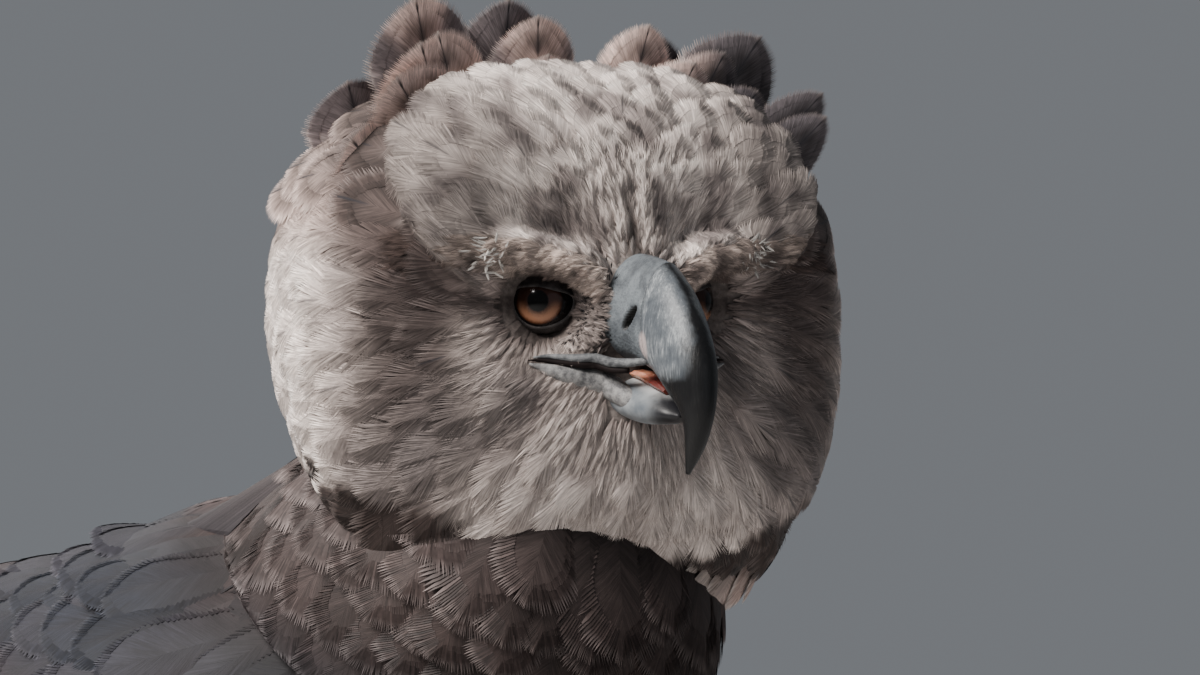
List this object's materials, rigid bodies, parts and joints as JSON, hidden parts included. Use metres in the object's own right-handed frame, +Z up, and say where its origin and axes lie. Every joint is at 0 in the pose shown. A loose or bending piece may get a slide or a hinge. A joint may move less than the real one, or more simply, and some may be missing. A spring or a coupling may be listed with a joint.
{
  "type": "harpy eagle",
  "caption": "Life-size standing harpy eagle with raised crest feathers, facial ruff, hooked beak, folded wings and long tail, head turned to its right.",
  "frame": {"origin": "on the floor at the middle of the bird's bounding box, behind the feet and under the folded wings", "axes": "+Z up, the body faces -Y, the bird's right side is -X"},
  "size_m": [0.2468, 0.8363, 0.7031],
  "materials": {
    "head_feathers": "soft pale grey feathers",
    "slate_feathers": "satin dark slate feathers",
    "belly_feathers": "soft white feathers with dark bars",
    "tail_feathers": "black feathers with grey bars",
    "cere_skin": "smooth slate-blue skin",
    "beak_horn": "satin blue-grey horn, darker at the tip",
    "claw_horn": "satin black horn",
    "leg_scales": "dull yellow scaled skin",
    "eye": "wet amber iris with a black pupil",
    "tongue": "moist orange-pink skin"
  },
  "bodies": {
    "root": {"head": "head_feathers", "neck": "slate_feathers", "torso": "slate_feathers", "wing_right": "slate_feathers", "wing_left": "slate_feathers", "tail": "tail_feathers", "thigh_right": "belly_feathers", "thigh_left": "belly_feathers", "cere": "cere_skin", "upper_beak": "beak_horn", "lower_beak": "beak_horn", "tongue": "tongue", "eye_right": "eye", "eye_left": "eye", "tarsus_right": "leg_scales", "tarsus_left": "leg_scales", "foot_right": "leg_scales", "foot_left": "leg_scales", "claw_inner_right": "claw_horn", "claw_inner_left": "claw_horn", "claw_middle_right": "claw_horn", "claw_middle_left": "claw_horn", "claw_outer_right": "claw_horn", "claw_outer_left": "claw_horn", "claw_hind_right": "claw_horn", "claw_hind_left": "claw_horn"}
  },
  "joints": []
}
